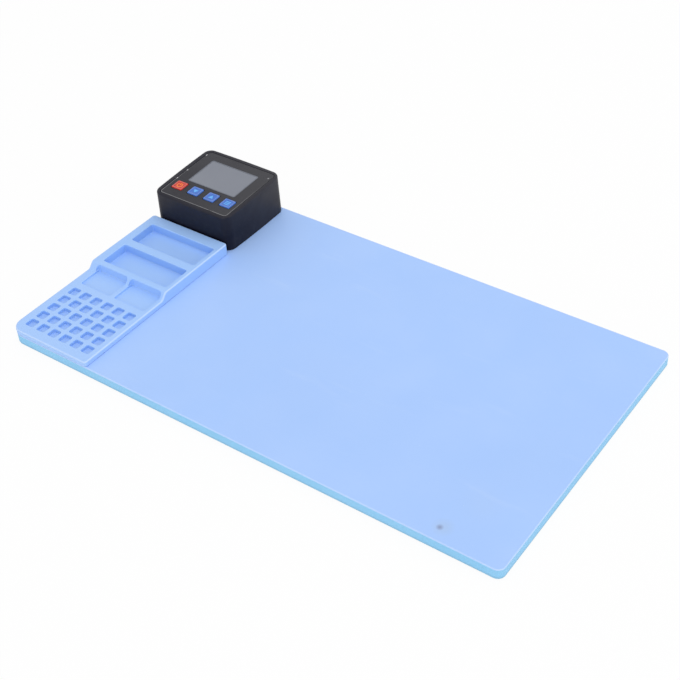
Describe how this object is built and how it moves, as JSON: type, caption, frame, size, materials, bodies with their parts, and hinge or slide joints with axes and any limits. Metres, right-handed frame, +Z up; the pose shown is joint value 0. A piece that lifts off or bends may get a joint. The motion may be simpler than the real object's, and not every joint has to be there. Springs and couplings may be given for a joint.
{
  "type": "lcd separator heating pad",
  "caption": "Flat silicone heating mat with a two-level parts tray on its left side and a black control box with display and push keys in its back left corner.",
  "frame": {"origin": "middle of the mat's underside", "axes": "+X along the mat away from the control box and tray, +Z up, the user stands at -Y"},
  "size_m": [0.375, 0.21, 0.0385],
  "materials": {
    "cyan_silicone": "satin moulded silicone",
    "periwinkle_silicone": "satin moulded silicone",
    "black_plastic": "fine texture",
    "panel_film": "satin film",
    "display_pane": "clear grey pane",
    "display_body": "plain",
    "red_key": "satin",
    "blue_key": "satin",
    "circuit_board": "solder mask",
    "chip_black": "moulded",
    "felt": "pressed glass felt",
    "heater_foil": "etched resistance foil",
    "aluminium": "rolled",
    "brass": "plain",
    "steel": "zinc plated",
    "red_wire": "insulated lead",
    "blue_wire": "insulated lead",
    "green_wire": "insulated lead",
    "white_wire": "insulated lead",
    "terminal_green": "moulded",
    "ferrite": "varnished",
    "capacitor_sleeve": "shrunk sleeve",
    "glass_tube": "clear"
  },
  "bodies": {
    "pad": {"base_sheet": "cyan_silicone", "edge_frame": "cyan_silicone", "top_sheet": "periwinkle_silicone", "parts_tray": "periwinkle_silicone", "housing_shell": "black_plastic", "housing_base": "black_plastic", "ac_inlet": "black_plastic", "panel_overlay": "panel_film", "display_lens": "display_pane", "lcd_module": "display_body", "control_board": "circuit_board", "power_board": "circuit_board", "temperature_sensor": "chip_black", "tact_switch_1": "chip_black", "tact_switch_2": "chip_black", "tact_switch_3": "chip_black", "tact_switch_4": "chip_black", "controller_chip": "chip_black", "buzzer": "chip_black", "triac": "chip_black", "fuse_holder": "chip_black", "insulation_felt": "felt", "heater_track": "heater_foil", "heat_spreader": "aluminium", "heatsink": "aluminium", "inlet_pin_live": "brass", "inlet_pin_neutral": "brass", "inlet_pin_earth": "brass", "housing_screw_1": "steel", "housing_screw_2": "steel", "housing_screw_3": "steel", "housing_screw_4": "steel", "board_screw_1": "steel", "board_screw_2": "steel", "board_screw_3": "steel", "board_screw_4": "steel", "heater_lead_live": "red_wire", "heater_lead_link": "red_wire", "inlet_wire_live": "red_wire", "heater_lead_return": "blue_wire", "inlet_wire_neutral": "blue_wire", "inlet_wire_earth": "green_wire", "sensor_lead_left": "white_wire", "sensor_lead_right": "white_wire", "thermal_cutout": "white_wire", "board_ribbon": "white_wire", "terminal_block": "terminal_green", "transformer": "ferrite", "input_capacitor": "capacitor_sleeve", "fuse": "glass_tube"},
    "power_button": {"power_key": "red_key"},
    "down_button": {"down_key": "blue_key"},
    "up_button": {"up_key": "blue_key"},
    "mode_button": {"mode_key": "blue_key"}
  },
  "joints": [
    {"name": "power_press", "type": "slide", "parent": "pad", "child": "power_button", "axis": [0, -0.037, 0.9993], "range_m": [-0.0005, 0], "stiffness_N_per_m": 800},
    {"name": "down_press", "type": "slide", "parent": "pad", "child": "down_button", "axis": [0, -0.037, 0.9993], "range_m": [-0.0005, 0], "stiffness_N_per_m": 800},
    {"name": "up_press", "type": "slide", "parent": "pad", "child": "up_button", "axis": [0, -0.037, 0.9993], "range_m": [-0.0005, 0], "stiffness_N_per_m": 800},
    {"name": "mode_press", "type": "slide", "parent": "pad", "child": "mode_button", "axis": [0, -0.037, 0.9993], "range_m": [-0.0005, 0], "stiffness_N_per_m": 800}
  ]
}
